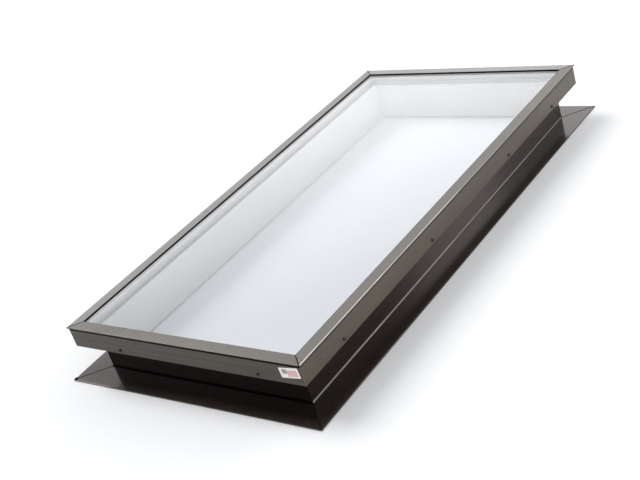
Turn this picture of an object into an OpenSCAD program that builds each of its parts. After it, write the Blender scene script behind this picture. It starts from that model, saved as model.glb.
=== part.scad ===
// Fixed roof skylight with a self-flashing curb.
// An insulating glass unit sits on a hollow plastic frame. A mitred metal retainer
// caps its edge and covers the frame, and a mitred flashing forms the curb and the
// flange that lies on the roof.
//
// Origin: centre of the base. X is the short side, Y the long side, Z is up.
// Every profile is drawn as (inset, height): the inset is measured inwards from the
// outer edge of the retainer's lip, and the height from the base.

/* [Overall] */
// Width across the retainer's lips, along X
cap_w = 622.3; // [450:0.1:1200]
// Length across the retainer's lips, along Y
cap_l = 1231.9; // [900:0.1:2000]
// Height of the retainer's lip above the flange's top
curb_h = 122.3; // [105:0.1:220]

/* [Retainer] */
// Wall of the retainer's extrusion
retainer_t = 1.7; // [1.4:0.1:2.2]
// Width of the top leg, from the lip to its inner edge
cap_face = 26; // [22:0.5:30]
// Height of the lip's outer edge
lip_h = 2.3; // [2:0.1:3.5]
// Rounding of the lip's outer edge
lip_r = 1.1; // [0.3:0.1:1.1]
// How far the lip stands out past the skirt
lip_out = 2.8; // [2:0.1:5]
// How much higher the top leg is at its inner edge than at the lip
cap_rise = 0.6; // [0.2:0.1:1.5]
// Depth of the skirt below the lip
skirt_h = 47; // [44:0.5:60]

/* [Glass unit] */
// Thickness of each pane
pane_t = 4; // [3:0.5:6]
// Gap between the panes
pane_gap = 11; // [8:0.5:14]
// Space between the glass unit's edge and the frame
edge_room = 3.3; // [2:0.1:4]
// Depth of the glass below the retainer's inner top edge
glass_drop = 4.3; // [3.8:0.1:6]
// Width of the outer edge seal, from the glass edge to the spacer
seal_w = 6; // [4:0.5:7]
// Width of the spacer bar
spacer_w = 6.5; // [5:0.5:8]
// Wall of the spacer bar
spacer_t = 0.5; // [0.4:0.1:0.8]
// Thickness of the glazing tape under the glass unit
tape_t = 2; // [1.5:0.5:4]

/* [Gasket] */
// Thickness of the gasket's upright lip over the retainer's inner edge
gasket_lip = 1.2; // [0.8:0.1:2]
// Width of the gasket under the retainer's top leg
gasket_w = 12; // [8:0.5:14]

/* [Frame] */
// Wall of the hollow frame profile
frame_t = 2.2; // [1.8:0.1:3]
// Space between the skirt and the frame, where the corner keys are
skirt_gap = 2; // [1.8:0.1:4]
// Thickness of the frame's leg inside the curb
leg_w = 7.4; // [6.2:0.1:16]
// Height of the frame's box above the skirt's lower edge
box_up = 3; // [2:0.5:4]
// Height of the frame's lower edge above the base
frame_z = 5; // [3:0.5:20]
// Depth of the condensation channel below the tape's seat
channel_d = 3; // [1.5:0.5:5]

/* [Flashing] */
// Sheet thickness of the flashing
flashing_t = 1.4; // [1:0.1:2]
// Inset of the curb's outer face
curb_inset = 41; // [36:0.5:50]
// Width of the flange outside the curb's face
flange_w = 64; // [50:0.1:120]
// Width of the hem folded under the flange's edge
hem_w = 12; // [6:1:20]
// Gap between the hem and the flange
hem_gap = 0.2; // [0.1:0.1:0.5]
// Radius of the bend between the curb and the flange
bend_r = 3; // [2:0.5:5]
// How far the curb's top edge reaches into the frame's groove
groove_grip = 7; // [5:0.5:8]

/* [Fasteners] */
// Skirt screws along each short side, from its start
short_from_start = [140]; // [120:1:180]
// Skirt screws along each short side, from its end
short_from_end = [114]; // [100:1:180]
// Skirt screws along each long side, from its start
long_from_start = [137, 484]; // [120:1:500]
// Skirt screws along each long side, from its end
long_from_end = [146, 385]; // [120:1:390]
// Height of the skirt screws above the skirt's lower edge
screw_up = 8.5; // [6:0.5:9]
// Shank diameter of the skirt screws
screw_d = 4; // [3:0.5:4.5]
// Head diameter of the skirt screws
screw_head_d = 7.6; // [6:0.1:9]
// Length of the skirt screws
screw_len = 16; // [13:0.5:19]
// Shank diameter of the flashing screws
small_screw_d = 3; // [2.5:0.5:3.5]
// Length of the flashing screws
small_screw_len = 6; // [5:0.5:8]
// Distance of the flashing screws below the frame's box
small_screw_drop = 11; // [9:0.5:20]

/* [Label] */
// Width of the bare label
label_w = 46; // [20:1:60]
// Height of the bare label
label_h = 23; // [10:1:30]
// Distance from the label's middle to the skirt's corner
label_from_corner = 29; // [28:1:120]
// Depth of the label's middle below the lip
label_depth = 21; // [16:1:26]
// Tilt of the label on the skirt
label_tilt = 6; // [-8:1:8]

/* [Hidden] */

$fn = 32;

// Finishes
BRONZE = [0.36, 0.34, 0.31];
CURB_BRONZE = [0.16, 0.13, 0.11];
FRAME_WHITE = [0.93, 0.93, 0.92];
RUBBER_BLACK = [0.06, 0.06, 0.06];
GLASS_CLEAR = [0.80, 0.87, 0.92, 0.35];
SPACER_PALE = [0.88, 0.88, 0.87];
KEY_SILVER = [0.72, 0.73, 0.74];
TAPE_PALE = [0.75, 0.75, 0.74];
SCREW_DARK = [0.14, 0.13, 0.12];
LABEL_WHITE = [0.93, 0.92, 0.90];

// Clearances
mitre_gap = 0.25;   // between two mitred ends
seat_clear = 0.05;  // between parts that bear on each other
slide_clear = 0.2;  // between a part and the groove or face it slides along
hole_clear = 0.3;   // round a screw in the piece that it clamps
pilot_clear = 0.05; // round a screw in the piece that it holds in
groove_room = 1;    // over the curb's edge in the frame's groove
lip_flat = 0.1;     // least flat between the lip's two roundings
key_play = 0.5;     // between a corner key and the space that it lies in

// Sides, in turn round the skylight
FRONT = 0;
RIGHT = 1;
BACK = 2;
LEFT = 3;
SIDES = [FRONT, RIGHT, BACK, LEFT];

// Heights
flange_top = 2 * flashing_t + hem_gap;
lip_z = flange_top + curb_h;
glass_top = lip_z + lip_h + cap_rise - glass_drop;
glass_t = 2 * pane_t + pane_gap;
glass_bottom = glass_top - glass_t;
seat_z = glass_bottom - tape_t;
channel_z = seat_z - channel_d;
skirt_z = lip_z - skirt_h;
box_z = skirt_z + box_up;
screw_z = skirt_z + screw_up;
small_screw_z = box_z - small_screw_drop;

// Insets
lip_round = min(lip_r, (lip_h - lip_flat) / 2);
skirt_in = lip_out + retainer_t;
frame_out = skirt_in + skirt_gap;
key_t = skirt_gap - key_play;
upstand_in = frame_out + frame_t;
glass_inset = upstand_in + edge_room;
spacer_inset = glass_inset + seal_w;
seat_in = cap_face;
curb_back = curb_inset + flashing_t;
flange_edge = curb_inset - flange_w;
leg_out = curb_back + slide_clear;
frame_inset = leg_out + leg_w;
groove_out = curb_inset - slide_clear;
curb_top = box_z + groove_grip;
groove_z = curb_top + groove_room;

upstand_drop = 1.7;   // space between the frame's upstand and the top leg
channel_lip = 2;      // height of the lip inside the condensation channel
boss_w = 8;           // solid rail that the skirt screws hold in, behind the frame's face
boss_h = 10;          // its height
rail_h = 14;          // solid rail that the flashing screws hold in
edge_r = 0.5;         // rounding of the skirt's foot
gasket_drop = 0.5;    // depth of the gasket's lip below the top leg's inner edge
block_l = 60;         // length of a setting block
key_leg = 35;         // leg of a corner key
key_h = 30;           // height of a corner key
label_t = 0.2;        // thickness of the label
block_drop = 1;       // depth of a setting block's top below the glass's top
spacer_slot = 0.6;    // slot along the spacer's inner face
tape_margin = 1;      // seat left bare inside the glazing tape
lip_chamfer = 0.6;    // chamfers on the channel's inner lip
foot_chamfer = 1;     // chamfer on the frame's lower edge
drill_over = 0.5;     // depth of a screw's pilot hole past its tip
screw_end_gap = 60;   // distance from a curb's corner to its first flashing screw
cut_over = 1;         // how far a cutting shape runs past what it cuts

function side_run(side) = side % 2 == 0 ? cap_w : cap_l;

// Places of the skirt screws, measured from the middle of a side
function side_screws(side) =
    let (from_start = side % 2 == 0 ? short_from_start : long_from_start,
         from_end = side % 2 == 0 ? short_from_end : long_from_end,
         half = side_run(side) / 2)
    concat([for (reach = from_start) reach - half], [for (reach = from_end) half - reach]);

// Height of the top leg's upper and lower face at an inset
function cap_top(inset) = lip_z + lip_h + cap_rise * inset / cap_face;
function cap_under(inset) = cap_top(inset) - retainer_t;

// Points on an arc about a centre, from one angle to another
function arc(centre, r, from, to, steps = 6) =
    [for (i = [0:steps])
        let (a = from + (to - from) * i / steps)
        [centre.x + r * cos(a), centre.y + r * sin(a)]];

// Puts a shape on one side: its X runs along the side, its Y inwards
module on_side(side) {
    out = side % 2 == 0 ? cap_l / 2 : cap_w / 2;
    rotate([0, 0, side * 90]) translate([0, -out, 0]) children();
}

// Extrudes an (inset, height) profile along one side and mitres both ends, with a gap
// to the next side's bar. With no gap, the four bars meet and make one ring.
module mitred_bar(side, outer, inner, gap = mitre_gap) {
    half = side_run(side) / 2 - gap / sqrt(2);
    on_side(side) intersection() {
        rotate([90, 0, 90])
            linear_extrude(side_run(side) + 2 * abs(outer) + 2 * cut_over, center = true)
                children();
        translate([0, 0, -cut_over])
            linear_extrude(lip_z + lip_h + cap_rise + 2 * cut_over)
                polygon([
                    [-half + outer, outer], [half - outer, outer],
                    [half - inner, inner], [-half + inner, inner]
                ]);
    }
}

// Rectangular ring between two insets and two heights
module ring(outer, inner, low, high) {
    translate([0, 0, low]) linear_extrude(high - low) difference() {
        square([cap_w - 2 * outer, cap_l - 2 * outer], center = true);
        square([cap_w - 2 * inner, cap_l - 2 * inner], center = true);
    }
}

// Box in an (inset, height) profile
module profile_box(outer, inner, low, high) {
    translate([outer, low]) square([inner - outer, high - low]);
}

// Round hole or shank on one side, pointing inwards
module side_cylinder(side, along, height, from, to, d) {
    on_side(side) translate([along, from, height]) rotate([-90, 0, 0])
        cylinder(h = to - from, d = d);
}

// ---------------------------------------------------------------- retainer

module retainer_profile() {
    polygon(concat(
        arc([lip_round, lip_z + lip_h - lip_round], lip_round, 180, 90),
        [[cap_face, cap_top(cap_face)], [cap_face, cap_under(cap_face)]],
        [[skirt_in, cap_under(skirt_in)]],
        [[skirt_in, skirt_z]],
        arc([lip_out + edge_r, skirt_z + edge_r], edge_r, 270, 180),
        [[lip_out, lip_z]],
        arc([lip_round, lip_z + lip_round], lip_round, 270, 180)
    ));
}

module retainer(side) {
    color(BRONZE) difference() {
        mitred_bar(side, 0, cap_face) retainer_profile();
        for (along = side_screws(side))
            side_cylinder(side, along, screw_z, -cut_over, skirt_in + cut_over,
                          screw_d + 2 * hole_clear);
    }
}

module retainer_front() { retainer(FRONT); }
module retainer_right() { retainer(RIGHT); }
module retainer_back() { retainer(BACK); }
module retainer_left() { retainer(LEFT); }

// Flat corner key behind the skirt, one leg on each side of the corner
module corner_key(side) {
    face = skirt_in + seat_clear;
    top = cap_under(skirt_in) - upstand_drop;
    corner = side_run(side) / 2 - face;
    color(KEY_SILVER) on_side(side) translate([corner, face, top - key_h]) {
        translate([-key_leg, 0, 0]) cube([key_leg, key_t, key_h]);
        translate([-key_t, 0, 0]) cube([key_t, key_leg, key_h]);
    }
}

module corner_key_front_right() { corner_key(FRONT); }
module corner_key_back_right() { corner_key(RIGHT); }
module corner_key_back_left() { corner_key(BACK); }
module corner_key_front_left() { corner_key(LEFT); }

// ---------------------------------------------------------------- glass unit

module glazing_gasket() {
    inner = cap_face + gasket_lip;
    outer = cap_face - gasket_w;
    low = glass_top + seat_clear;
    color(RUBBER_BLACK) for (side = SIDES)
        mitred_bar(side, outer, inner, 0) polygon([
            [outer, low], [inner, low],
            [inner, cap_top(cap_face) - gasket_drop],
            [cap_face + seat_clear, cap_top(cap_face) - gasket_drop],
            [cap_face + seat_clear, cap_under(cap_face) - seat_clear],
            [outer, cap_under(outer) - seat_clear]
        ]);
}

module pane(low) {
    translate([0, 0, low + pane_t / 2])
        cube([cap_w - 2 * glass_inset, cap_l - 2 * glass_inset, pane_t], center = true);
}

module outer_pane() {
    color(GLASS_CLEAR) pane(glass_top - pane_t);
}

module inner_pane() {
    color(GLASS_CLEAR) pane(glass_bottom);
}

module spacer_bar() {
    low = glass_bottom + pane_t;
    high = low + pane_gap;
    inner = spacer_inset + spacer_w;
    middle = (low + high) / 2;
    color(SPACER_PALE) difference() {
        ring(spacer_inset, inner, low, high);
        ring(spacer_inset + spacer_t, inner - spacer_t, low + spacer_t, high - spacer_t);
        ring(spacer_inset + spacer_w / 2, inner + cut_over,
             middle - spacer_slot / 2, middle + spacer_slot / 2);
    }
}

module edge_seal() {
    low = glass_bottom + pane_t;
    color(RUBBER_BLACK) ring(glass_inset, spacer_inset, low, low + pane_gap);
}

module glazing_tape() {
    color(TAPE_PALE) ring(glass_inset, seat_in - tape_margin, seat_z, glass_bottom);
}

module setting_blocks() {
    room = glass_inset - upstand_in;
    color(RUBBER_BLACK) for (side = SIDES, end = [-1, 1])
        on_side(side)
            translate([end * side_run(side) / 4 - block_l / 2, upstand_in + seat_clear, seat_z])
                cube([block_l, room - 2 * seat_clear, glass_top - seat_z - block_drop]);
}

// ---------------------------------------------------------------- frame

module frame_profile() {
    boss_top = box_z + boss_h;
    boss_in = frame_out + boss_w;
    web = seat_in - frame_t;
    rail_low = small_screw_z - rail_h / 2;
    rail_high = small_screw_z + rail_h / 2;
    difference() {
        polygon([
            [frame_out, box_z],
            [frame_out, cap_under(frame_out) - upstand_drop],
            [upstand_in, cap_under(frame_out) - upstand_drop],
            [upstand_in, seat_z],
            [seat_in, seat_z],
            [seat_in + channel_d / 2, channel_z],
            [frame_inset - frame_t, channel_z],
            [frame_inset - frame_t, channel_z + channel_lip],
            [frame_inset - frame_t + lip_chamfer, channel_z + channel_lip + lip_chamfer],
            [frame_inset - lip_chamfer, channel_z + channel_lip + lip_chamfer],
            [frame_inset, channel_z + channel_lip],
            [frame_inset, frame_z + foot_chamfer],
            [frame_inset - foot_chamfer, frame_z],
            [leg_out, frame_z],
            [leg_out, groove_z],
            [groove_out, groove_z],
            [groove_out, box_z]
        ]);
        // chambers: over the screw rail, behind it, under the channel, and in the leg
        profile_box(frame_out + frame_t, web, boss_top + frame_t, seat_z - frame_t);
        profile_box(boss_in, web, box_z + frame_t, boss_top);
        profile_box(seat_in, groove_out - frame_t, box_z + frame_t, channel_z - frame_t);
        profile_box(leg_out + frame_t, frame_inset - frame_t, frame_z + frame_t, rail_low);
        profile_box(leg_out + frame_t, frame_inset - frame_t, rail_high,
                    channel_z - frame_t);
    }
}

module frame_member(side) {
    color(FRAME_WHITE) difference() {
        mitred_bar(side, frame_out, frame_inset) frame_profile();
        for (along = side_screws(side))
            side_cylinder(side, along, screw_z, frame_out - cut_over,
                          lip_out + screw_len + drill_over, screw_d + 2 * pilot_clear);
        for (along = flashing_screw_places(side))
            side_cylinder(side, along, small_screw_z, leg_out - cut_over / 2,
                          curb_inset + small_screw_len + drill_over,
                          small_screw_d + 2 * pilot_clear);
    }
}

module frame_front() { frame_member(FRONT); }
module frame_right() { frame_member(RIGHT); }
module frame_back() { frame_member(BACK); }
module frame_left() { frame_member(LEFT); }

// ---------------------------------------------------------------- flashing

function flashing_screw_count(side) = side % 2 == 0 ? 3 : 5;

// Even places along the curb, the outer ones near its corners
function flashing_screw_places(side) =
    let (count = flashing_screw_count(side),
         reach = side_run(side) / 2 - curb_inset - screw_end_gap)
    [for (i = [0:count - 1]) -reach + 2 * reach * i / (count - 1)];

module flashing_profile() {
    hem_r = flange_top / 2;
    fold = [flange_edge + hem_r, hem_r];
    bend = [curb_inset - bend_r, flange_top + bend_r];
    polygon(concat(
        [[curb_inset, curb_top], [curb_back, curb_top]],
        arc(bend, bend_r + flashing_t, 0, -90, 8),
        [[fold.x + hem_gap, flashing_t + hem_gap]],
        arc(fold, hem_gap / 2, 90, 270, 4),
        [[flange_edge + hem_w, flashing_t], [flange_edge + hem_w, 0]],
        arc(fold, hem_r, 270, 90, 8),
        arc(bend, bend_r, -90, 0, 8)
    ));
}

module flashing(side) {
    color(CURB_BRONZE) difference() {
        mitred_bar(side, flange_edge, curb_back + cut_over) flashing_profile();
        for (along = flashing_screw_places(side))
            side_cylinder(side, along, small_screw_z, curb_inset - cut_over,
                          curb_back + cut_over, small_screw_d + 2 * hole_clear);
    }
}

module flashing_front() { flashing(FRONT); }
module flashing_right() { flashing(RIGHT); }
module flashing_back() { flashing(BACK); }
module flashing_left() { flashing(LEFT); }

// Sealant in the top of the frame's groove, over the curb's edge
module bedding_seal() {
    color(RUBBER_BLACK)
        ring(groove_out + seat_clear, leg_out - seat_clear,
             curb_top + seat_clear, groove_z - seat_clear);
}

// ---------------------------------------------------------------- fasteners

// Pan-head screw with a cross recess: the head's seat is at the origin, and the
// shank points along +Z
module pan_screw(shank_d, head_d, length) {
    head_h = head_d * 0.3;
    slot_l = head_d * 0.5;
    slot_w = head_d * 0.13;
    tip = shank_d / 2;
    difference() {
        rotate_extrude() polygon(concat(
            [[0, length], [shank_d / 2, length - tip], [shank_d / 2, 0], [head_d / 2, 0]],
            arc([head_d / 2 - head_h / 2, -head_h / 2], head_h / 2, 0, -90, 4),
            [[0, -head_h]]
        ));
        for (turn = [0, 90])
            rotate([0, 0, turn]) translate([-slot_l / 2, -slot_w / 2, -head_h - cut_over])
                cube([slot_l, slot_w, head_h / 2 + cut_over]);
    }
}

module side_screw(side, along, height, seat, shank_d, head_d, length) {
    on_side(side) translate([along, seat, height]) rotate([-90, 0, 0])
        pan_screw(shank_d, head_d, length);
}

module retainer_screws() {
    color(SCREW_DARK) for (side = SIDES, along = side_screws(side))
        side_screw(side, along, screw_z, lip_out - seat_clear / 2,
                   screw_d, screw_head_d, screw_len);
}

module flashing_screws() {
    color(SCREW_DARK) for (side = SIDES, along = flashing_screw_places(side))
        side_screw(side, along, small_screw_z, curb_inset - seat_clear / 2,
                   small_screw_d, 2 * small_screw_d, small_screw_len);
}

// ---------------------------------------------------------------- label

module label_plate() {
    middle = cap_w / 2 - lip_out - label_from_corner;
    color(LABEL_WHITE) on_side(FRONT)
        translate([middle, lip_out - label_t / 2 - seat_clear / 2, lip_z - label_depth])
            rotate([0, -label_tilt, 0])
                cube([label_w, label_t, label_h], center = true);
}

retainer_front();
retainer_right();
retainer_back();
retainer_left();
glazing_gasket();
outer_pane();
inner_pane();
spacer_bar();
edge_seal();
glazing_tape();
setting_blocks();
frame_front();
frame_right();
frame_back();
frame_left();
flashing_front();
flashing_right();
flashing_back();
flashing_left();
bedding_seal();
corner_key_front_left();
corner_key_front_right();
corner_key_back_right();
corner_key_back_left();
retainer_screws();
flashing_screws();
label_plate();
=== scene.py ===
import math

import bpy
from mathutils import Matrix, Vector


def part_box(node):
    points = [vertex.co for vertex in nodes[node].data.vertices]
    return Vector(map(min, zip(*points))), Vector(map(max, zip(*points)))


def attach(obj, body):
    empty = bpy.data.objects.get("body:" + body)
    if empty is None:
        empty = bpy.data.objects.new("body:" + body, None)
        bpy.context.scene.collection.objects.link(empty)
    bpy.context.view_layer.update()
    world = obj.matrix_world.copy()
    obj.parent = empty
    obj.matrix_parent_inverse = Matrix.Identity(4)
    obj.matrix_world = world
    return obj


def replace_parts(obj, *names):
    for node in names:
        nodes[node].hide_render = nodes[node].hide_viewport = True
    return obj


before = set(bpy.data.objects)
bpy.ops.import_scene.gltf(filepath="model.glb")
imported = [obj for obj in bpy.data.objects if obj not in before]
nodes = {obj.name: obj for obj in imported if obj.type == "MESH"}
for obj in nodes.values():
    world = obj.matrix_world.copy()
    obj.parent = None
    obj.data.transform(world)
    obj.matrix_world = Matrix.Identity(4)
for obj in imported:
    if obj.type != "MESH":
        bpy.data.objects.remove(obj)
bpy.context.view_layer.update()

MM = 0.001
SIDES = ("front", "right", "back", "left")

# ------------------------------------------------------------------ places from the frame

cap_low, cap_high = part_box("retainer_right")
label_low, label_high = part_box("label_plate")

CAP_TOP = cap_high.z
CAP_HALF_X = cap_high.x
CAP_HALF_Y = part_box("retainer_back")[1].y
CAP_FACE = CAP_HALF_X - cap_low.x
SKIRT_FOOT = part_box("retainer_left")[0].z
FLANGE_HALF_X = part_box("flashing_right")[1].x
FLANGE_HALF_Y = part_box("flashing_back")[1].y
LABEL_MIDDLE = (label_low + label_high) / 2

# ------------------------------------------------------------------ sizes of the section

# The retainer's top leg falls by CAP_RISE from its inner edge to the lip.
CAP_RISE = 0.6 * MM
LIP_TOP = CAP_TOP - CAP_RISE
LIP_H = 2.3 * MM
LIP_FOOT = LIP_TOP - LIP_H
LIP_ROUND = 1.1 * MM
LIP_OUT = 2.8 * MM
CURB_INSET = 41.0 * MM
CURB_HALF_X = CAP_HALF_X - CURB_INSET
CURB_HALF_Y = CAP_HALF_Y - CURB_INSET
CURB_BEND = 3.0 * MM
FLANGE_TOP = 3.0 * MM
LABEL_TILT = math.radians(-6.0)

# ------------------------------------------------------------------ shader helpers

# A noise's values lie mostly between these.
NOISE_LOW = 0.3
NOISE_HIGH = 0.7


def new_material(name):
    """A material with a Principled shader, and its tree, shader and object coordinates."""
    material = bpy.data.materials.new(name)
    material.use_nodes = True
    tree = material.node_tree
    shader = tree.nodes["Principled BSDF"]
    coords = tree.nodes.new("ShaderNodeTexCoord")
    return material, tree, shader, coords.outputs["Object"]


def new_group(name, numbers, masks):
    """A node group that takes a Vector and numbers, {name: default}, and puts out masks."""
    group = bpy.data.node_groups.new(name, "ShaderNodeTree")
    sockets = group.interface
    sockets.new_socket("Vector", in_out="INPUT", socket_type="NodeSocketVector")
    for label, default in numbers.items():
        socket = sockets.new_socket(label, in_out="INPUT", socket_type="NodeSocketFloat")
        socket.default_value = default
    for label in masks:
        sockets.new_socket(label, in_out="OUTPUT", socket_type="NodeSocketFloat")
    entry = group.nodes.new("NodeGroupInput")
    leave = group.nodes.new("NodeGroupOutput")
    return group, entry.outputs, leave.inputs


def feed(tree, socket, value):
    """Links a value that is a socket, and sets one that is a number or a colour."""
    if isinstance(value, bpy.types.NodeSocket):
        tree.links.new(value, socket)
    else:
        socket.default_value = value


def put_group(tree, group, **values):
    """Places a group in a tree. Keyword values use _ for a space in a socket's name."""
    node = tree.nodes.new("ShaderNodeGroup")
    node.node_tree = group
    for label, value in values.items():
        feed(tree, node.inputs[label.replace("_", " ")], value)
    return node.outputs


def axes(tree, vector):
    """The X, Y and Z of a vector."""
    node = tree.nodes.new("ShaderNodeSeparateXYZ")
    tree.links.new(vector, node.inputs[0])
    return node.outputs


def stretched(tree, vector, scale):
    """Coordinates scaled differently along each axis."""
    node = tree.nodes.new("ShaderNodeMapping")
    node.inputs["Scale"].default_value = scale
    tree.links.new(vector, node.inputs["Vector"])
    return node.outputs["Vector"]


def noise(tree, vector, scale, detail=3.0, roughness=0.5):
    """Noise of a scale that is a number or a socket."""
    node = tree.nodes.new("ShaderNodeTexNoise")
    feed(tree, node.inputs["Scale"], scale)
    node.inputs["Detail"].default_value = detail
    node.inputs["Roughness"].default_value = roughness
    tree.links.new(vector, node.inputs["Vector"])
    return node.outputs["Fac"]


def rolling_lines(tree, coords):
    """Fine level lines, as rolling leaves on a strip that stands on edge."""
    return noise(tree, stretched(tree, coords, (30.0, 30.0, 1400.0)), 1.0, 4.0, 0.6)


def spread(tree, value, low, high, to_low=0.0, to_high=1.0):
    """Maps low..high of a value to to_low..to_high, clamped."""
    node = tree.nodes.new("ShaderNodeMapRange")
    node.inputs["From Min"].default_value = low
    node.inputs["From Max"].default_value = high
    node.inputs["To Min"].default_value = to_low
    node.inputs["To Max"].default_value = to_high
    tree.links.new(value, node.inputs["Value"])
    return node.outputs["Result"]


def wander(tree, cloud, to_low=0.0, to_high=1.0):
    """A number that wanders between two as a noise does."""
    return spread(tree, cloud, NOISE_LOW, NOISE_HIGH, to_low, to_high)


def math_node(tree, operation, first, second=None):
    """One step of sums on values that are sockets or numbers."""
    node = tree.nodes.new("ShaderNodeMath")
    node.operation = operation
    feed(tree, node.inputs[0], first)
    if second is not None:
        feed(tree, node.inputs[1], second)
    return node.outputs[0]


def product(tree, first, *others):
    """Multiplies masks, each a socket or a number."""
    for other in others:
        first = math_node(tree, "MULTIPLY", first, other)
    return first


def raised(tree, value, mask, most):
    """A value with up to most added to it, where the mask is 1."""
    return math_node(tree, "ADD", value, product(tree, mask, most))


def band(tree, value, middle, reach, soft):
    """Mask of the values within reach of the middle, with soft edges."""
    off = math_node(tree, "ABSOLUTE", math_node(tree, "SUBTRACT", value, middle))
    return spread(tree, off, reach + soft, reach - soft)


def field(tree, vector, centre, half, soft):
    """Mask of an upright rectangle in the X and Z of a vector."""
    split = axes(tree, vector)
    masks = [
        band(tree, split[axis], middle, reach, soft)
        for axis, middle, reach in zip("XZ", centre, half)
    ]
    return product(tree, *masks)


def blend_colour(tree, amount, first, second):
    """Mixes two colours, each a socket or an (r, g, b)."""
    node = tree.nodes.new("ShaderNodeMix")
    node.data_type = "RGBA"
    tree.links.new(amount, node.inputs["Factor"])
    for label, value in (("A", first), ("B", second)):
        socket = [s for s in node.inputs if s.name == label and s.type == "RGBA"][0]
        feed(tree, socket, (*value, 1.0) if isinstance(value, tuple) else value)
    return [s for s in node.outputs if s.type == "RGBA"][0]


def clouded(tree, cloud, first, second):
    """A colour that wanders between two as a noise does."""
    return blend_colour(tree, wander(tree, cloud), first, second)


def lightened(colour, times):
    """A colour made lighter, or darker where times is under 1."""
    return tuple(value * times for value in colour)


def coat(tree, shader, colour, rough):
    """Feeds a shader's colour and roughness."""
    tree.links.new(colour, shader.inputs["Base Color"])
    tree.links.new(rough, shader.inputs["Roughness"])


def bump(tree, shader, height, distance, strength):
    """Raises the surface by a height that runs from 0 to 1."""
    node = tree.nodes.new("ShaderNodeBump")
    node.inputs["Strength"].default_value = strength
    node.inputs["Distance"].default_value = distance
    tree.links.new(height, node.inputs["Height"])
    tree.links.new(node.outputs["Normal"], shader.inputs["Normal"])


# ------------------------------------------------------------------ shared effects


def looking_up(tree, low, high):
    """Mask of faces that look up. A level face's normal has a Z of 1."""
    geometry = tree.nodes.new("ShaderNodeNewGeometry")
    return spread(tree, axes(tree, geometry.outputs["Normal"])["Z"], low, high)


def make_edge_wear():
    """Mask of worn edges: 1 where the surface turns sharply and the wear noise allows it."""
    group, entry, leave = new_group(
        "edge_wear", {"Width": 0.001, "Patch Scale": 18.0, "Amount": 0.5}, ("Wear",)
    )
    bevel = group.nodes.new("ShaderNodeBevel")
    bevel.samples = 6
    group.links.new(entry["Width"], bevel.inputs["Radius"])
    geometry = group.nodes.new("ShaderNodeNewGeometry")
    dot = group.nodes.new("ShaderNodeVectorMath")
    dot.operation = "DOT_PRODUCT"
    group.links.new(bevel.outputs["Normal"], dot.inputs[0])
    group.links.new(geometry.outputs["Normal"], dot.inputs[1])
    # The product falls from 1 as the rounded normal turns away from the true one.
    turned = spread(group, dot.outputs["Value"], 0.995, 0.86)
    patches = noise(group, entry["Vector"], entry["Patch Scale"], 6.0, 0.65)
    broken = spread(group, patches, 0.42, 0.62)
    group.links.new(product(group, turned, broken, entry["Amount"]), leave["Wear"])
    return group


def make_draw_grain():
    """Fine die lines along an extrusion, whichever way it runs: height and shade."""
    group, entry, leave = new_group(
        "draw_grain", {"Along X": 1.0, "Line Scale": 900.0}, ("Height", "Shade")
    )
    # The pattern is drawn out along the extrusion until it runs this slowly.
    slow = 0.012
    split = axes(group, entry["Vector"])
    drawn = group.nodes.new("ShaderNodeCombineXYZ")
    along_y = math_node(group, "SUBTRACT", 1.0, entry["Along X"])
    for axis, along in (("X", entry["Along X"]), ("Y", along_y)):
        keep = math_node(group, "SUBTRACT", 1.0, product(group, along, 1.0 - slow))
        group.links.new(product(group, split[axis], keep), drawn.inputs[axis])
    group.links.new(split["Z"], drawn.inputs["Z"])
    fine = noise(group, drawn.outputs[0], entry["Line Scale"], 4.0)
    broad_scale = product(group, entry["Line Scale"], 0.17)
    broad = noise(group, drawn.outputs[0], broad_scale, 2.0)
    group.links.new(fine, leave["Height"])
    group.links.new(broad, leave["Shade"])
    return group


def make_dust():
    """Mask of settled dust on faces that look up, thicker in slow patches."""
    group, entry, leave = new_group(
        "settled_dust", {"Amount": 0.3, "Patch Scale": 5.0}, ("Dust",)
    )
    upward = looking_up(group, 0.2, 0.95)
    patches = noise(group, entry["Vector"], entry["Patch Scale"], 5.0, 0.6)
    cloud = spread(group, patches, 0.35, 0.7, 0.35, 1.0)
    specks = noise(group, entry["Vector"], 420.0, 2.0)
    grit = spread(group, specks, 0.45, 0.75, 0.6, 1.0)
    group.links.new(product(group, upward, cloud, grit, entry["Amount"]), leave["Dust"])
    return group


def make_crevice_shade():
    """Mask of painted shade where two faces meet or one overhangs another, found by
    occlusion.
    """
    group, entry, leave = new_group(
        "crevice_shade", {"Reach": 0.006, "Amount": 0.6}, ("Crevice Shade",)
    )
    hollow = group.nodes.new("ShaderNodeAmbientOcclusion")
    hollow.samples = 6
    group.links.new(entry["Reach"], hollow.inputs["Distance"])
    closed = spread(group, hollow.outputs["AO"], 0.85, 0.35)
    streaks = noise(group, entry["Vector"], 26.0, 4.0)
    uneven = spread(group, streaks, 0.3, 0.65, 0.65, 1.0)
    group.links.new(product(group, closed, uneven, entry["Amount"]), leave["Crevice Shade"])
    return group


def make_skyward_chalk_and_light():
    """Mask of faces that look at the sky, lightened as chalk and as painted light from above.
    """
    group, entry, leave = new_group(
        "skyward_chalk_and_light", {"Amount": 0.8, "Patch Scale": 6.0}, ("Chalk And Light",)
    )
    upward = looking_up(group, 0.35, 0.9)
    patches = noise(group, entry["Vector"], entry["Patch Scale"], 5.0, 0.6)
    mottled = wander(group, patches, 0.82, 1.0)
    group.links.new(product(group, upward, mottled, entry["Amount"]), leave["Chalk And Light"])
    return group


EDGE_WEAR = make_edge_wear()
CREVICE_SHADE = make_crevice_shade()
CHALK_AND_LIGHT = make_skyward_chalk_and_light()
DRAW_GRAIN = make_draw_grain()
DUST = make_dust()

# ------------------------------------------------------------------ bronze

# What draw_grain's Along X takes for a member's direction.
ALONG_X = 1.0
ALONG_Y = 0.0
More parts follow.
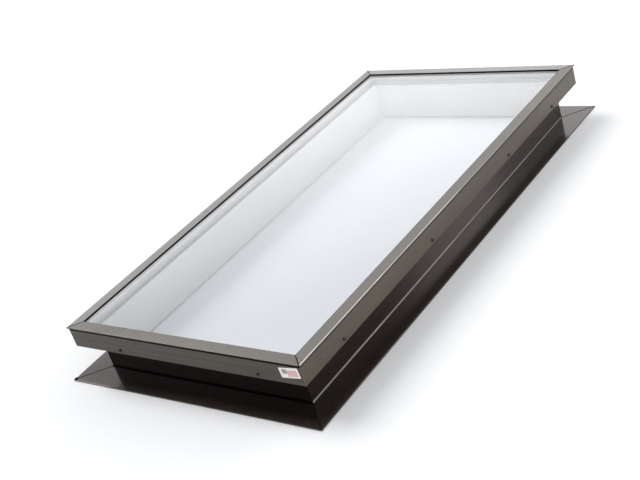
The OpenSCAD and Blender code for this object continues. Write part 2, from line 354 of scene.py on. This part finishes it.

# What each retainer member's upper face is painted to: chalk, with painted light making the
# back and left lighter than the front and right.
CHALK_AND_LIGHT_FRONT = (0.155, 0.142, 0.122)
CHALK_AND_LIGHT_RIGHT = (0.185, 0.171, 0.156)
CHALK_AND_LIGHT_BACK = (0.33, 0.33, 0.325)
CHALK_AND_LIGHT_LEFT = (0.225, 0.224, 0.218)

BARE_METAL = (0.42, 0.40, 0.37)
# Painted highlights: a bright line on the right lip and a lighter line on the right
# flashing's bend.
PAINTED_LIP_HIGHLIGHT = (0.88, 0.85, 0.81)
PAINTED_BEND_HIGHLIGHT = (0.30, 0.27, 0.25)

# The lip's outer edge, as lowest and highest X and Z.
LIP_EDGE_X = (CAP_HALF_X - 1.4 * MM, CAP_HALF_X + 1.0 * MM)
LIP_EDGE_Z = (CAP_TOP - 3.4 * MM, CAP_TOP)

# The bend between flange and curb, as lowest and highest X and Z.
BEND_X = (CURB_HALF_X - 0.5 * MM, CURB_HALF_X + 2.6 * MM)
BEND_Z = (FLANGE_TOP - 0.4 * MM, FLANGE_TOP + 2.6 * MM)

# The mask of the flange's outer part grows between these, measured from its edge.
HEM_START = -30.0 * MM
HEM_FULL = -4.0 * MM


def painted_edge_highlight(tree, coords, across, heights):
    """Mask of a painted highlight along an edge that runs along Y, strongest toward the front
    and broken along its length.
    """
    centre = [(low + high) / 2 for low, high in (across, heights)]
    half = [(high - low) / 2 for low, high in (across, heights)]
    edge = field(tree, coords, centre, half, 0.1 * MM)
    near = spread(tree, axes(tree, coords)["Y"], 0.3, -0.6, 0.15, 1.0)
    lengths = noise(tree, stretched(tree, coords, (0.0, 1.0, 0.0)), 5.0, 4.0, 0.6)
    lengths = spread(tree, lengths, 0.35, 0.62, 0.35, 1.0)
    return product(tree, edge, product(tree, near, lengths))


def painted_shadow_under_lip(tree, coords):
    """Mask of a painted shadow line on the skirt, close under the lip."""
    height = axes(tree, coords)["Z"]
    lower = spread(tree, height, LIP_FOOT - 6.3 * MM, LIP_FOOT - 5.5 * MM)
    upper = spread(tree, height, LIP_FOOT + 0.1 * MM, LIP_FOOT - 0.1 * MM)
    return product(tree, lower, upper)


def bronze_extrusion(name, along, bloom, painted_highlight=False, painted_light_level=1.0, lip_shadow=1.0):
    """Satin bronze anodised extrusion, with die lines along its length.

    along is ALONG_X or ALONG_Y.
    bloom is the colour its upper face is painted to: chalk, and painted light that sets each
    side's lit tone.
    The flag for a painted highlight marks the member whose lip gets a bright painted
    highlight along its outer edge.
    The painted light level lightens the whole finish of a member on the lit side, as painted
    light.
    The lip shadow number sets how black the painted shadow line close under the lip is.
    """
    material, tree, shader, coords = new_material(name)
    grain = put_group(tree, DRAW_GRAIN, Vector=coords, Along_X=along, Line_Scale=900.0)
    wear = put_group(
        tree, EDGE_WEAR, Vector=coords, Width=0.9 * MM, Patch_Scale=22.0, Amount=0.6
    )["Wear"]
    dust = put_group(tree, DUST, Vector=coords, Amount=0.16, Patch_Scale=4.0)["Dust"]
    chalk_and_light = put_group(tree, CHALK_AND_LIGHT, Vector=coords, Amount=0.85, Patch_Scale=7.0)["Chalk And Light"]
    painted_crevice_shade = put_group(tree, CREVICE_SHADE, Vector=coords, Reach=5.0 * MM, Amount=0.8)["Crevice Shade"]
    cloud = noise(tree, coords, 3.2, 4.0, 0.55)
    # Painted light and shade: the whole finish scaled lighter on the lit side.
    deep = lightened((0.042, 0.033, 0.024), painted_light_level)
    light = lightened((0.057, 0.046, 0.035), painted_light_level)
    colour = clouded(tree, cloud, deep, light)
    # Painted light: the upper faces take each side's chalk and lit tone.
    colour = blend_colour(tree, chalk_and_light, colour, bloom)
    lines = spread(tree, grain["Shade"], 0.35, 0.65, 0.0, 0.14)
    colour = blend_colour(tree, lines, colour, (0.15, 0.14, 0.125))
    colour = blend_colour(tree, wear, colour, BARE_METAL)
    colour = blend_colour(tree, dust, colour, (0.30, 0.28, 0.26))
    # Painted shade in crevices and under overhangs.
    colour = blend_colour(tree, painted_crevice_shade, colour, (0.012, 0.010, 0.009))
    # Painted shadow: a black line on the skirt close under the lip.
    line = product(tree, painted_shadow_under_lip(tree, coords), lip_shadow)
    colour = blend_colour(tree, line, colour, (0.004, 0.0035, 0.003))
    if painted_highlight:
        # Painted highlight along the lip's outer edge.
        bright = painted_edge_highlight(tree, coords, LIP_EDGE_X, LIP_EDGE_Z)
        colour = blend_colour(tree, bright, colour, PAINTED_LIP_HIGHLIGHT)
    rough = raised(tree, wander(tree, cloud, 0.24, 0.33), dust, 0.5)
    rough = raised(tree, rough, line, 0.4)
    coat(tree, shader, colour, rough)
    tree.links.new(spread(tree, line, 0.0, 1.0, 0.4, 1.0), shader.inputs["Metallic"])
    shader.inputs["Specular IOR Level"].default_value = 0.4
    bump(tree, shader, grain["Height"], 0.06 * MM, 0.5)
    return material


def beyond(tree, coords, half_x, half_y):
    """How far a point lies outside an upright box about the middle, in metres."""
    split = axes(tree, coords)
    reach = []
    for axis, half in (("X", half_x), ("Y", half_y)):
        across = math_node(tree, "ABSOLUTE", split[axis])
        reach.append(math_node(tree, "SUBTRACT", across, half))
    return math_node(tree, "MAXIMUM", *reach)


def toward_hem(tree, coords):
    """Mask that grows from the middle of the flange to its outer edge."""
    out = beyond(tree, coords, FLANGE_HALF_X, FLANGE_HALF_Y)
    return spread(tree, out, HEM_START, HEM_FULL)


def in_bend(tree, coords):
    """Mask of the rounded bend between the flange and the curb."""
    out = beyond(tree, coords, CURB_HALF_X, CURB_HALF_Y)
    near = spread(tree, out, CURB_BEND + 1.5 * MM, CURB_BEND + 0.5 * MM)
    top = FLANGE_TOP + CURB_BEND
    low = spread(tree, axes(tree, coords)["Z"], top + 2.0 * MM, top + 0.5 * MM)
    return product(tree, near, low)


def bronze_sheet(name, painted_highlight=False, painted_light_level=1.0, shaded_bend=False):
    """Dark bronze coated sheet: slow waves, rub marks and dust.

    The flag for a painted highlight marks the member whose bend gets a lighter painted
    highlight.
    The painted light level lightens the coat of a member on the lit side and darkens one in
    shade, as painted light and shade.
    The shaded bend flag blackens the bend and dulls it, as painted shade.
    """
    material, tree, shader, coords = new_material(name)
    wear = put_group(
        tree, EDGE_WEAR, Vector=coords, Width=0.8 * MM, Patch_Scale=30.0, Amount=0.08
    )["Wear"]
    dust = put_group(tree, DUST, Vector=coords, Amount=0.03, Patch_Scale=3.5)["Dust"]
    painted_crevice_shade = put_group(tree, CREVICE_SHADE, Vector=coords, Reach=12.0 * MM, Amount=0.7)["Crevice Shade"]
    cloud = noise(tree, coords, 2.6, 5.0, 0.6)
    # Painted light and shade: the whole coat scaled lighter on the lit side and darker in
    # shade.
    deep = lightened((0.0062, 0.0036, 0.0028), painted_light_level)
    light = lightened((0.0105, 0.0064, 0.0050), painted_light_level)
    colour = clouded(tree, cloud, deep, light)
    rub = noise(tree, stretched(tree, coords, (1.0, 1.0, 3.0)), 46.0, 8.0, 0.72)
    rub = spread(tree, rub, 0.60, 0.74, 0.0, 0.14)
    colour = blend_colour(tree, rub, colour, (0.04, 0.034, 0.030))
    colour = blend_colour(tree, wear, colour, (0.20, 0.18, 0.165))
    colour = blend_colour(tree, dust, colour, (0.13, 0.11, 0.095))
    # Painted light: the flange lighter toward its outer edge, beyond the skirt's shadow.
    lit_toward_hem = product(tree, toward_hem(tree, coords), spread(tree, cloud, 0.2, 0.6, 0.5, 0.9))
    colour = blend_colour(tree, lit_toward_hem, colour, (0.036, 0.027, 0.024))
    # Painted shade in crevices and under overhangs.
    colour = blend_colour(tree, painted_crevice_shade, colour, (0.003, 0.0022, 0.002))
    rough = raised(tree, wander(tree, cloud, 0.13, 0.2), dust, 0.7)
    shader.inputs["Coat Weight"].default_value = 0.4
    if painted_highlight:
        # Painted highlight along the bend.
        bright = painted_edge_highlight(tree, coords, BEND_X, BEND_Z)
        colour = blend_colour(tree, bright, colour, PAINTED_BEND_HIGHLIGHT)
    if shaded_bend:
        # Painted shade blackening the bend.
        bend_shade = in_bend(tree, coords)
        colour = blend_colour(tree, bend_shade, colour, (0.005, 0.0035, 0.003))
        rough = raised(tree, rough, bend_shade, 0.6)
        tree.links.new(bend_shade, shader.inputs["Metallic"])
        tree.links.new(spread(tree, bend_shade, 0.0, 1.0, 0.4, 0.0), shader.inputs["Coat Weight"])
    coat(tree, shader, colour, rough)
    shader.inputs["Specular IOR Level"].default_value = 0.7
    shader.inputs["Specular Tint"].default_value = (1.0, 0.85, 0.78, 1.0)
    shader.inputs["Coat Roughness"].default_value = 0.08
    waves = raised(tree, noise(tree, coords, 5.0, 1.0), rub, -0.02)
    bump(tree, shader, waves, 0.8 * MM, 0.25)
    return material


# ------------------------------------------------------------------ plastic, glass and rubber


def white_frame(name):
    """Matt white extruded plastic, set to a mid grey as painted shade for the walls seen
    through the glass, with darker scuffs from handling.
    """
    material, tree, shader, coords = new_material(name)
    cloud = noise(tree, coords, 4.0, 4.0, 0.6)
    # Painted shade: the white plastic set to a mid grey.
    colour = clouded(tree, cloud, (0.50, 0.50, 0.498), (0.54, 0.54, 0.538))
    scuff = noise(tree, stretched(tree, coords, (1.0, 1.0, 6.0)), 60.0, 6.0, 0.7)
    scuff = spread(tree, scuff, 0.62, 0.75, 0.0, 0.35)
    colour = blend_colour(tree, scuff, colour, (0.45, 0.446, 0.438))
    coat(tree, shader, colour, wander(tree, cloud, 0.38, 0.5))
    bump(tree, shader, noise(tree, coords, 700.0, 2.0), 0.05 * MM, 0.4)
    return material


def let_daylight_through(tree, shader):
    """Lets light from lamps, sky and pale faces pass, so what lies behind glass is lit."""
    path = tree.nodes.new("ShaderNodeLightPath")
    clear = tree.nodes.new("ShaderNodeBsdfTransparent")
    clear.inputs["Color"].default_value = (0.935, 0.94, 0.95, 1.0)
    behind = shader.outputs["BSDF"]
    for kind in ("Is Shadow Ray", "Is Diffuse Ray"):
        mix = tree.nodes.new("ShaderNodeMixShader")
        tree.links.new(path.outputs[kind], mix.inputs["Fac"])
        tree.links.new(behind, mix.inputs[1])
        tree.links.new(clear.outputs["BSDF"], mix.inputs[2])
        behind = mix.outputs["Shader"]
    tree.links.new(behind, tree.nodes["Material Output"].inputs["Surface"])


def clear_glass(name):
    """Clear float glass with a faint cool tint and a trace of dust."""
    material, tree, shader, coords = new_material(name)
    cloud = noise(tree, coords, 3.0, 4.0, 0.6)
    colour = clouded(tree, cloud, (0.972, 0.98, 0.985), (0.985, 0.99, 0.993))
    coat(tree, shader, colour, spread(tree, cloud, 0.4, 0.8, 0.0, 0.03))
    shader.inputs["IOR"].default_value = 1.5
    shader.inputs["Transmission Weight"].default_value = 1.0
    let_daylight_through(tree, shader)
    return material


def black_rubber(name, gloss, shine):
    """Black gasket rubber or sealant, with bloom.

    gloss is its least roughness, and shine is how much light it throws back.
    """
    material, tree, shader, coords = new_material(name)
    cloud = noise(tree, coords, 40.0, 5.0, 0.6)
    bloom = spread(tree, cloud, 0.4, 0.75)
    colour = blend_colour(tree, bloom, (0.006, 0.006, 0.006), (0.018, 0.017, 0.016))
    coat(tree, shader, colour, wander(tree, cloud, gloss, gloss + 0.15))
    shader.inputs["Specular IOR Level"].default_value = shine
    bump(tree, shader, noise(tree, coords, 900.0, 3.0), 0.12 * MM, 0.6)
    return material


def foam_tape(name):
    """Pale closed-cell foam tape."""
    material, tree, shader, coords = new_material(name)
    cells = tree.nodes.new("ShaderNodeTexVoronoi")
    cells.inputs["Scale"].default_value = 1100.0
    tree.links.new(coords, cells.inputs["Vector"])
    pits = spread(tree, cells.outputs["Distance"], 0.0, 0.5)
    colour = blend_colour(tree, pits, (0.76, 0.76, 0.75), (0.88, 0.88, 0.87))
    coat(tree, shader, colour, spread(tree, pits, 0.0, 1.0, 0.95, 0.8))
    bump(tree, shader, pits, 0.2 * MM, 0.6)
    return material


# ------------------------------------------------------------------ small metal parts


def mill_metal(name):
    """Bright mill-finish aluminium with rolling lines."""
    material, tree, shader, coords = new_material(name)
    lines = rolling_lines(tree, coords)
    colour = clouded(tree, lines, (0.52, 0.53, 0.54), (0.68, 0.69, 0.70))
    coat(tree, shader, colour, wander(tree, lines, 0.24, 0.4))
    shader.inputs["Metallic"].default_value = 1.0
    bump(tree, shader, lines, 0.04 * MM, 0.5)
    return material


def pale_lacquer(name):
    """Pale lacquered spacer strip with faint rolling lines."""
    material, tree, shader, coords = new_material(name)
    lines = rolling_lines(tree, coords)
    colour = clouded(tree, lines, (0.84, 0.84, 0.835), (0.89, 0.89, 0.885))
    coat(tree, shader, colour, wander(tree, lines, 0.4, 0.5))
    bump(tree, shader, lines, 0.03 * MM, 0.4)
    return material


def dark_screw(name):
    """Dark coated steel screw, rubbed bright on its edges."""
    material, tree, shader, coords = new_material(name)
    wear = put_group(
        tree, EDGE_WEAR, Vector=coords, Width=0.4 * MM, Patch_Scale=300.0, Amount=0.8
    )["Wear"]
    cloud = noise(tree, coords, 300.0, 4.0)
    colour = clouded(tree, cloud, (0.030, 0.027, 0.025), (0.055, 0.050, 0.045))
    colour = blend_colour(tree, wear, colour, BARE_METAL)
    coat(tree, shader, colour, wander(tree, cloud, 0.3, 0.45))
    shader.inputs["Metallic"].default_value = 0.8
    bump(tree, shader, cloud, 0.03 * MM, 0.5)
    return material


# ------------------------------------------------------------------ label film

# The printed fields, measured from the label's middle along its length and height.
ROSE_CENTRE = (6.5 * MM, -1.5 * MM)
ROSE_HALF = (12.5 * MM, 7.5 * MM)
DARK_CENTRE = (-11.5 * MM, 3.0 * MM)
DARK_HALF = (5.5 * MM, 5.0 * MM)
PRINT_SOFT = 0.8 * MM


def label_film(name):
    """White film, a little creased, with bare printed fields and no lettering."""
    material, tree, shader, coords = new_material(name)
    place = tree.nodes.new("ShaderNodeMapping")
    place.vector_type = "TEXTURE"
    place.inputs["Location"].default_value = tuple(LABEL_MIDDLE)
    place.inputs["Rotation"].default_value = (0.0, LABEL_TILT, 0.0)
    tree.links.new(coords, place.inputs["Vector"])
    local = place.outputs["Vector"]
    cloud = noise(tree, coords, 60.0, 4.0, 0.6)
    colour = clouded(tree, cloud, (0.80, 0.78, 0.765), (0.88, 0.865, 0.85))
    ink = noise(tree, local, 420.0, 3.0, 0.7)
    rose = field(tree, local, ROSE_CENTRE, ROSE_HALF, PRINT_SOFT)
    rose = product(tree, rose, spread(tree, ink, 0.35, 0.6, 0.45, 0.95))
    colour = blend_colour(tree, rose, colour, (0.60, 0.33, 0.30))
    dark = field(tree, local, DARK_CENTRE, DARK_HALF, PRINT_SOFT)
    dark = product(tree, dark, spread(tree, ink, 0.35, 0.6, 0.5, 0.9))
    colour = blend_colour(tree, dark, colour, (0.10, 0.085, 0.08))
    coat(tree, shader, colour, wander(tree, cloud, 0.35, 0.5))
    bump(tree, shader, noise(tree, coords, 120.0, 3.0), 0.2 * MM, 0.4)
    return material


# ------------------------------------------------------------------ finishes of the nodes


def dress(piece, material):
    """Gives an object one material all over."""
    piece.data.materials.clear()
    piece.data.materials.append(material)


def give(material, *names):
    """Gives construction nodes a material."""
    for name in names:
        dress(nodes[name], material)


sealant = black_rubber("black_sealant", 0.75, 0.05)
film = label_film("label_film")

give(bronze_extrusion("bronze_front", ALONG_X, CHALK_AND_LIGHT_FRONT), "retainer_front")
give(bronze_extrusion("bronze_back", ALONG_X, CHALK_AND_LIGHT_BACK, lip_shadow=0.4), "retainer_back")
give(bronze_extrusion("bronze_left", ALONG_Y, CHALK_AND_LIGHT_LEFT, lip_shadow=0.4), "retainer_left")
give(
    bronze_extrusion("bronze_right", ALONG_Y, CHALK_AND_LIGHT_RIGHT, painted_highlight=True, painted_light_level=1.7, lip_shadow=0.45),
    "retainer_right",
)
give(bronze_sheet("bronze_sheet"), "flashing_back", "flashing_left")
give(bronze_sheet("bronze_sheet_highlit", painted_highlight=True, painted_light_level=1.3), "flashing_right")
give(bronze_sheet("bronze_sheet_dark", painted_light_level=0.4, shaded_bend=True), "flashing_front")
give(white_frame("frame_white"), *("frame_" + side for side in SIDES))
give(clear_glass("clear_glass"), "outer_pane", "inner_pane")
give(black_rubber("gasket_rubber", 0.75, 0.06), "glazing_gasket", "setting_blocks")
give(sealant, "edge_seal", "bedding_seal")
give(foam_tape("foam_tape"), "glazing_tape")
give(pale_lacquer("pale_lacquer"), "spacer_bar")
give(mill_metal("mill_aluminium"), *(n for n in nodes if n.startswith("corner_key_")))
give(dark_screw("dark_screw"), "retainer_screws", "flashing_screws")
give(film, "label_plate")

# ------------------------------------------------------------------ seams and label

SEAM_RADIUS = 1.3 * MM
FLASHING_SEAM_RADIUS = 0.95 * MM
DROP_RADIUS = 3.9 * MM
DROP_INSET = 4.1 * MM
LABEL_WIDTH = 46.0 * MM
LABEL_HEIGHT = 23.0 * MM
LABEL_THICK = 0.2 * MM
LABEL_CORNER = 2.6 * MM

CORNERS = {
    "front_left": (-1.0, -1.0),
    "front_right": (1.0, -1.0),
    "back_right": (1.0, 1.0),
    "back_left": (-1.0, 1.0),
}


def deselect():
    """Leaves edit mode and clears the selection."""
    if bpy.context.object and bpy.context.object.mode != "OBJECT":
        bpy.ops.object.mode_set(mode="OBJECT")
    bpy.ops.object.select_all(action="DESELECT")


def edit_all():
    """Opens the active piece for editing, with all of it selected."""
    bpy.ops.object.mode_set(mode="EDIT")
    bpy.ops.mesh.select_all(action="SELECT")


def bead(name, points, radius):
    """A round bead of sealant drawn through points, its ends closed."""
    deselect()
    bpy.ops.mesh.primitive_plane_add(size=radius, location=(0.0, 0.0, 0.0))
    piece = bpy.context.object
    piece.name = name
    edit_all()
    bpy.ops.mesh.merge(type="CENTER")
    bpy.ops.transform.translate(value=points[0])
    for start, end in zip(points, points[1:]):
        step = Vector(end) - Vector(start)
        bpy.ops.mesh.extrude_region_move(TRANSFORM_OT_translate={"value": step})
    bpy.ops.object.mode_set(mode="OBJECT")
    bpy.ops.object.convert(target="CURVE")
    piece.data.bevel_depth = radius
    piece.data.bevel_resolution = 3
    piece.data.use_fill_caps = True
    bpy.ops.object.convert(target="MESH")
    edit_all()
    bpy.ops.mesh.remove_doubles(threshold=0.02 * MM)
    bpy.ops.mesh.normals_make_consistent(inside=False)
    bpy.ops.object.mode_set(mode="OBJECT")
    bpy.ops.object.shade_smooth_by_angle(angle=math.radians(50.0))
    return piece


def finish_piece(piece, material):
    """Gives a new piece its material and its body."""
    dress(piece, material)
    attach(piece, "root")
    return piece


def arc(inset, height, radius, degrees):
    """Points of a round in the section, as (inset, height).

    Angles are counted from the inward side, upward being positive.
    """
    turns = [math.radians(turn) for turn in degrees]
    return [
        (inset + radius * math.cos(turn), height + radius * math.sin(turn)) for turn in turns
    ]


def at_corner(sign, half_x, half_y, path):
    """The (inset, height) points of a section, set in the mitre of a corner."""
    return [
        (sign[0] * (half_x - inset), sign[1] * (half_y - inset), height)
        for inset, height in path
    ]


def retainer_seam(name, sign):
    """Sealant in a retainer's mitre: over the top leg, round the lip and in under it."""
    sunk = 0.7 * MM
    path = [
        (CAP_FACE - 0.8 * MM, CAP_TOP - 0.75 * MM),
        (CAP_FACE - 7.0 * MM, CAP_TOP - 0.25 * MM - sunk),
        (LIP_ROUND, LIP_TOP - sunk),
    ]
    around = (120.0, 150.0, 180.0, 210.0, 240.0)
    path += arc(LIP_ROUND, LIP_TOP - LIP_ROUND, LIP_ROUND - sunk, around)
    path.append((LIP_OUT + 0.2 * MM, LIP_FOOT + 0.1 * MM))
    path.append((LIP_OUT + 0.4 * MM, LIP_FOOT - 2.0 * MM))
    return bead(name, at_corner(sign, CAP_HALF_X, CAP_HALF_Y, path), SEAM_RADIUS)


def flashing_seam(name, sign):
    """Sealant in a flashing's mitre: along the flange, round the bend and up the curb."""
    sunk = 0.35 * MM
    width = FLANGE_HALF_X - CURB_HALF_X
    path = [(-width + 1.2 * MM, FLANGE_TOP - sunk), (-width / 2, FLANGE_TOP - sunk)]
    around = (-90.0, -68.0, -45.0, -22.0, 0.0)
    path += arc(-CURB_BEND, FLANGE_TOP + CURB_BEND, CURB_BEND + sunk, around)
    path.append((sunk, SKIRT_FOOT + 2.0 * MM))
    return bead(name, at_corner(sign, CURB_HALF_X, CURB_HALF_Y, path), FLASHING_SEAM_RADIUS)


def shade_drop_at_tip():
    """A flattened black drop at the tip of the flange's front left corner, a dark piece
    standing in for the shade on the hem's end.
    """
    deselect()
    centre = (DROP_INSET - FLANGE_HALF_X, DROP_INSET - FLANGE_HALF_Y, FLANGE_TOP + 0.2 * MM)
    bpy.ops.mesh.primitive_uv_sphere_add(segments=24, ring_count=12, radius=DROP_RADIUS)
    piece = bpy.context.object
    piece.name = "tip_shade_drop"
    edit_all()
    bpy.ops.mesh.vertices_smooth(factor=0.4, repeat=1)
    bpy.ops.object.mode_set(mode="OBJECT")
    modifier = piece.modifiers.new("swell", "CAST")
    modifier.cast_type = "CUBOID"
    modifier.factor = 0.12
    bpy.ops.object.modifier_apply(modifier=modifier.name)
    edit_all()
    bpy.ops.transform.resize(value=(1.0, 1.0, 0.6))
    bpy.ops.transform.translate(value=centre)
    bpy.ops.mesh.normals_make_consistent(inside=False)
    bpy.ops.object.mode_set(mode="OBJECT")
    bpy.ops.object.shade_smooth()
    return piece


def label_sheet():
    """The label as a thin film with rounded corners, set at its tilt on the skirt."""
    deselect()
    bpy.ops.mesh.primitive_cube_add(size=1.0, location=(0.0, 0.0, 0.0))
    piece = bpy.context.object
    piece.name = "label_sheet"
    edit_all()
    bpy.ops.transform.resize(value=(LABEL_WIDTH, LABEL_THICK, LABEL_HEIGHT))
    bpy.ops.object.mode_set(mode="OBJECT")
    rounding = piece.modifiers.new("corners", "BEVEL")
    rounding.width = LABEL_CORNER
    rounding.segments = 6
    rounding.limit_method = "WEIGHT"
    weights = piece.data.attributes.new("bevel_weight_edge", "FLOAT", "EDGE")
    for edge in piece.data.edges:
        one, two = (piece.data.vertices[v].co for v in edge.vertices)
        through = abs(one.y - two.y) > LABEL_THICK / 2
        weights.data[edge.index].value = 1.0 if through else 0.0
    bpy.ops.object.modifier_apply(modifier=rounding.name)
    turn = Matrix.Rotation(LABEL_TILT, 4, "Y")
    piece.matrix_world = Matrix.Translation(LABEL_MIDDLE) @ turn
    bpy.ops.object.transform_apply(location=True, rotation=True, scale=True)
    bpy.ops.object.shade_smooth_by_angle(angle=math.radians(40.0))
    return piece


for corner, sign in CORNERS.items():
    finish_piece(retainer_seam("retainer_seam_" + corner, sign), sealant)
    finish_piece(flashing_seam("flashing_seam_" + corner, sign), sealant)
finish_piece(shade_drop_at_tip(), sealant)
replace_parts(finish_piece(label_sheet(), film), "label_plate")

# ------------------------------------------------------------------ studio

FLOOR_SIZE = 60.0

# The sky turns from the horizon's white to the overhead one between these heights.
HORIZON_BAND = (0.37, 0.50)
HORIZON_WHITE = (1.75, 1.75, 1.75)
OVERHEAD_WHITE = (0.68, 0.695, 0.72)
DARK_SIDE = (0.12, 0.12, 0.12)
TOWARD_DARK_SIDE = (-0.57, -0.82, 0.0)


def studio_floor():
    """Pale floor under the object."""
    deselect()
    bpy.ops.mesh.primitive_plane_add(size=FLOOR_SIZE, location=(0.0, 0.0, 0.0))
    floor = bpy.context.object
    floor.name = "studio_floor"
    material, tree, shader, coords = new_material("pale_floor")
    cloud = noise(tree, coords, 1.5, 3.0)
    colour = clouded(tree, cloud, (0.86, 0.86, 0.86), (0.88, 0.88, 0.88))
    tree.links.new(colour, shader.inputs["Base Color"])
    shader.inputs["Roughness"].default_value = 0.9
    shader.inputs["Specular IOR Level"].default_value = 0.1
    floor.data.materials.append(material)


def pale_world():
    """White round the horizon, dimmer overhead and dimmer still at the front left."""
    world = bpy.data.worlds.new("pale_world")
    bpy.context.scene.world = world
    world.use_nodes = True
    tree = world.node_tree
    coords = tree.nodes.new("ShaderNodeTexCoord")
    look = coords.outputs["Generated"]
    rise = spread(tree, axes(tree, look)["Z"], *HORIZON_BAND)
    colour = blend_colour(tree, rise, HORIZON_WHITE, OVERHEAD_WHITE)
    toward = tree.nodes.new("ShaderNodeVectorMath")
    toward.operation = "DOT_PRODUCT"
    toward.inputs[1].default_value = TOWARD_DARK_SIDE
    tree.links.new(look, toward.inputs[0])
    dimmed = spread(tree, toward.outputs["Value"], 0.1, 0.9, 0.0, 0.7)
    colour = blend_colour(tree, dimmed, colour, DARK_SIDE)
    background = tree.nodes["Background"]
    tree.links.new(colour, background.inputs["Color"])
    background.inputs["Strength"].default_value = 1.0


def toward_angle(azimuth, elevation):
    """The direction at an azimuth round from +X and an elevation, in degrees."""
    around, up = math.radians(azimuth), math.radians(elevation)
    return Vector(
        (math.cos(around) * math.cos(up), math.sin(around) * math.cos(up), math.sin(up))
    )


def aimed_light(name, data, direction):
    """A light that shines along a direction."""
    light = bpy.data.objects.new(name, data)
    light.rotation_euler = direction.to_track_quat("-Z", "Y").to_euler()
    bpy.context.scene.collection.objects.link(light)
    return light


def soft_sun(name, azimuth, elevation, width, strength):
    """A wide, even light from far away. width is the angle it fills, in degrees."""
    data = bpy.data.lights.new(name, "SUN")
    data.angle = math.radians(width)
    data.energy = strength
    aimed_light(name, data, -toward_angle(azimuth, elevation))


def soft_light(name, place, aim, size, power):
    """A soft box at a place, turned to its aim."""
    data = bpy.data.lights.new(name, "AREA")
    data.shape = "RECTANGLE"
    data.size, data.size_y = size
    data.energy = power
    light = aimed_light(name, data, Vector(aim) - Vector(place))
    light.location = place


def product_camera():
    """Camera above the near right corner, rolled so that the long side climbs steeply."""
    azimuth = 42.77
    elevation = 27.23
    roll = math.radians(-18.34)
    distance = 2.663
    aside, above = -0.0476, -0.1222
    # Both in the unit that makes the image 640 wide.
    focal_length = 1167.0
    image_width = 640.0
    back = toward_angle(azimuth - 90.0, elevation)
    level = toward_angle(azimuth, 0.0)
    upright = back.cross(level)
    right = math.cos(roll) * level + math.sin(roll) * upright
    up = -math.sin(roll) * level + math.cos(roll) * upright
    lip_plane = Vector((0.0, 0.0, LIP_FOOT))
    place = lip_plane + back * distance + right * aside + up * above
    data = bpy.data.cameras.new("camera")
    data.sensor_width = 36.0
    data.lens = focal_length / image_width * data.sensor_width
    data.clip_start, data.clip_end = 0.05, 100.0
    camera = bpy.data.objects.new("camera", data)
    turn = Matrix((right, up, back)).transposed().to_4x4()
    camera.matrix_world = Matrix.Translation(place) @ turn
    bpy.context.scene.collection.objects.link(camera)
    bpy.context.scene.camera = camera


studio_floor()
pale_world()
soft_sun("key", azimuth=172.0, elevation=48.0, width=34.0, strength=1.95)
soft_light("rim", place=(1.75, 2.1, 1.7), aim=(0.2, 0.0, 0.1), size=(0.5, 2.2), power=12.0)
product_camera()
bpy.context.scene.view_settings.view_transform = "Standard"
